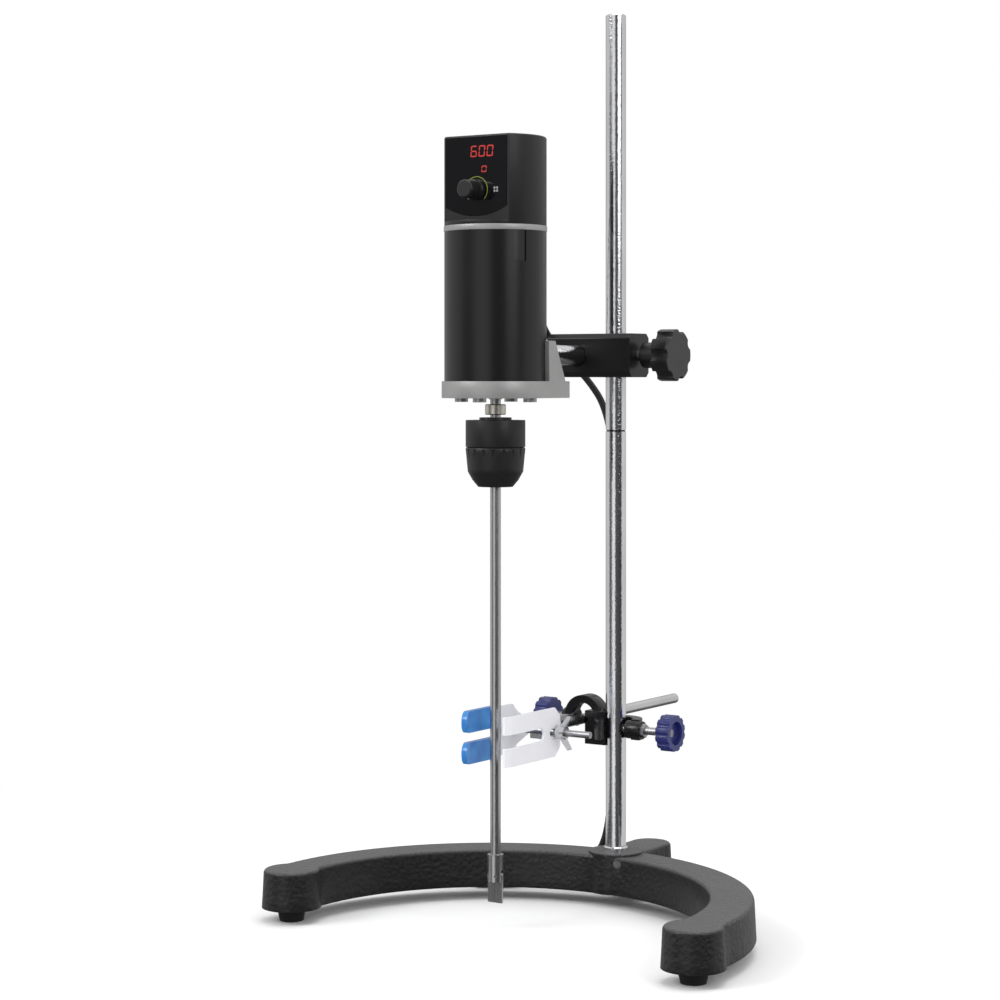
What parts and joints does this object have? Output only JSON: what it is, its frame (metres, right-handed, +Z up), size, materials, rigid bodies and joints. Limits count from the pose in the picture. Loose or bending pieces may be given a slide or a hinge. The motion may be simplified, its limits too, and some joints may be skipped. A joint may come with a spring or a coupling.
{
  "type": "overhead stirrer",
  "caption": "Laboratory overhead stirrer with a cylindrical motor head and display, keyless chuck, folding-blade shaft, C-shaped stand base, rod and flask clamp.",
  "frame": {"origin": "on the bench, under the middle of the stand's and arm's footprint", "axes": "+Z is up, -Y is the front, where the panel and the mouth of the base face; +X is the right"},
  "size_m": [0.4183, 0.3504, 0.693],
  "materials": {
    "hammered_black": "hammered enamel",
    "rubber": "matt",
    "steel": "zinc plated",
    "chrome": "polished",
    "black_block": "black anodised",
    "black_plastic": "satin",
    "grey_paint": "silver-grey paint",
    "motor_black": "satin black",
    "panel_black": "gloss",
    "lamination": "bare",
    "nickel": "satin nickel",
    "chuck_black": "black oxide",
    "tool_steel": "ground",
    "boss_enamel": "black enamel",
    "blue_knob": "royal blue",
    "blue_sleeve": "smooth",
    "white_jaw": "bright",
    "board_green": "circuit board",
    "cord_black": "smooth"
  },
  "bodies": {
    "stand": {"stand_base": "hammered_black", "rubber_feet": "rubber", "foot_screws": "steel", "lower_rod": "chrome", "upper_rod": "chrome", "rod_collar": "chrome", "rod_base_nut": "steel", "base_set_screw": "steel", "cord_coil": "cord_black", "cord_plug": "cord_black"},
    "carrier": {"clamp_block": "black_block", "boom_set_screw": "steel"},
    "star_screw": {"star_knob_screw": "steel"},
    "star_knob": {"star_knob": "black_plastic"},
    "head": {"boom": "chrome", "motor_bracket": "grey_paint", "bracket_screws": "steel", "motor_shell": "motor_black", "slot_cover": "black_plastic", "trim_ring": "grey_paint", "motor_stator": "lamination", "motor_end_plate": "grey_paint", "upper_bearing": "tool_steel", "lower_bearing": "tool_steel", "control_housing": "black_plastic", "display_panel": "panel_black", "display_module": "black_plastic", "control_board": "board_green", "cord_gland": "black_plastic", "power_cord": "cord_black"},
    "spindle": {"output_spindle": "tool_steel", "motor_rotor": "lamination", "spindle_collar": "nickel", "chuck_body": "chuck_black", "stir_shaft": "chrome", "impeller_hub": "tool_steel", "blade_pins": "tool_steel"},
    "chuck_sleeve": {"chuck_sleeve": "chuck_black"},
    "chuck_jaw_a": {"chuck_jaw_a": "tool_steel"},
    "chuck_jaw_b": {"chuck_jaw_b": "tool_steel"},
    "chuck_jaw_c": {"chuck_jaw_c": "tool_steel"},
    "blade_left": {"impeller_blade_left": "chrome"},
    "blade_right": {"impeller_blade_right": "chrome"},
    "speed_knob": {"speed_knob": "black_plastic", "knob_shaft": "steel"},
    "boss": {"boss_head": "boss_enamel", "rod_clamp_locknut": "steel"},
    "rod_screw": {"rod_clamp_screw": "steel"},
    "rod_knob": {"rod_clamp_knob": "blue_knob"},
    "arm_screw": {"arm_clamp_screw": "steel"},
    "arm_knob": {"arm_clamp_knob": "blue_knob"},
    "arm": {"clamp_arm": "chrome", "clamp_yoke": "grey_paint", "far_jaw": "white_jaw", "jaw_sleeves": "blue_sleeve", "jaw_stud": "steel", "jaw_pins": "steel"},
    "near_jaw": {"near_jaw": "white_jaw"},
    "jaw_washer": {"jaw_washer": "steel"},
    "wing_nut": {"wing_nut": "chrome"}
  },
  "joints": [
    {"name": "carrier_slide", "type": "slide", "parent": "stand", "child": "carrier", "axis": [0, 0, 1], "range_m": [-0.015, 0.235]},
    {"name": "star_screw_slide", "type": "slide", "parent": "carrier", "child": "star_screw", "axis": [1, 0, 0], "range_m": [0, 0.0025]},
    {"name": "star_knob_turn", "type": "hinge", "parent": "star_screw", "child": "star_knob", "pos_m": [0.049, 0.03525, 0.427], "axis": [1, 0, 0], "range_deg": [0, 720]},
    {"name": "head_slide", "type": "slide", "parent": "carrier", "child": "head", "axis": [0, -1, 0], "range_m": [-0.03, 0.012]},
    {"name": "spindle_spin", "type": "hinge", "parent": "head", "child": "spindle", "pos_m": [-0.0265, -0.09475, 0.4], "axis": [0, 0, 1], "continuous": true},
    {"name": "chuck_sleeve_turn", "type": "hinge", "parent": "spindle", "child": "chuck_sleeve", "pos_m": [-0.0265, -0.09475, 0.343], "axis": [0, 0, 1], "range_deg": [0, 180]},
    {"name": "blade_left_swing", "type": "hinge", "parent": "spindle", "child": "blade_left", "pos_m": [-0.0297, -0.09475, 0.0402], "axis": [0, 1, 0], "range_deg": [0, 80]},
    {"name": "blade_right_swing", "type": "hinge", "parent": "spindle", "child": "blade_right", "pos_m": [-0.0233, -0.09475, 0.0402], "axis": [0, -1, 0], "range_deg": [0, 80]},
    {"name": "speed_knob_turn", "type": "hinge", "parent": "head", "child": "speed_knob", "pos_m": [-0.026, -0.12875, 0.5475], "axis": [0, -1, 0], "range_deg": [-135, 135]},
    {"name": "boss_slide", "type": "slide", "parent": "stand", "child": "boss", "axis": [0, 0, 1], "range_m": [-0.04, 0.09]},
    {"name": "rod_screw_slide", "type": "slide", "parent": "boss", "child": "rod_screw", "axis": [1, 0, 0], "range_m": [0, 0.002]},
    {"name": "rod_knob_turn", "type": "hinge", "parent": "rod_screw", "child": "rod_knob", "pos_m": [0.048, 0.03525, 0.136], "axis": [1, 0, 0], "range_deg": [0, 720]},
    {"name": "arm_screw_slide", "type": "slide", "parent": "boss", "child": "arm_screw", "axis": [-1, 0, 0], "range_m": [0, 0.002]},
    {"name": "arm_knob_turn", "type": "hinge", "parent": "arm_screw", "child": "arm_knob", "pos_m": [-0.062, 0.03525, 0.142], "axis": [-1, 0, 0], "range_deg": [0, 720]},
    {"name": "arm_slide", "type": "slide", "parent": "boss", "child": "arm", "axis": [0, -1, 0], "range_m": [-0.026, 0.012]},
    {"name": "near_jaw_swing", "type": "hinge", "parent": "arm", "child": "near_jaw", "pos_m": [-0.0195, -0.02175, 0.142], "axis": [0, 0, 1], "range_deg": [-4, 14]},
    {"name": "washer_slide", "type": "slide", "parent": "arm", "child": "jaw_washer", "axis": [1, 0, 0], "range_m": [-0.0019, 0.0064]},
    {"name": "wing_nut_turn", "type": "hinge", "parent": "jaw_washer", "child": "wing_nut", "pos_m": [-0.0015, -0.04375, 0.142], "axis": [1, 0, 0], "range_deg": [-820, 2860]},
    {"name": "chuck_jaw_a_slide", "type": "slide", "parent": "spindle", "child": "chuck_jaw_a", "axis": [0, 1, 0], "range_m": [0, 0.002]},
    {"name": "chuck_jaw_b_slide", "type": "slide", "parent": "spindle", "child": "chuck_jaw_b", "axis": [-0.866, -0.5, 0], "range_m": [0, 0.002]},
    {"name": "chuck_jaw_c_slide", "type": "slide", "parent": "spindle", "child": "chuck_jaw_c", "axis": [0.866, -0.5, 0], "range_m": [0, 0.002]}
  ],
  "couplings": [
    {"joint": "star_screw_slide", "follows": "star_knob_turn", "m_per_rad": 0.00019894},
    {"joint": "rod_screw_slide", "follows": "rod_knob_turn", "m_per_rad": 0.00015915},
    {"joint": "arm_screw_slide", "follows": "arm_knob_turn", "m_per_rad": 0.00015915},
    {"joint": "blade_right_swing", "follows": "blade_left_swing", "ratio": 1},
    {"joint": "washer_slide", "follows": "near_jaw_swing", "m_per_rad": 0.0258},
    {"joint": "wing_nut_turn", "follows": "near_jaw_swing", "ratio": 202.63},
    {"joint": "chuck_jaw_a_slide", "follows": "chuck_sleeve_turn", "m_per_rad": 0.00063662},
    {"joint": "chuck_jaw_b_slide", "follows": "chuck_sleeve_turn", "m_per_rad": 0.00063662},
    {"joint": "chuck_jaw_c_slide", "follows": "chuck_sleeve_turn", "m_per_rad": 0.00063662}
  ]
}
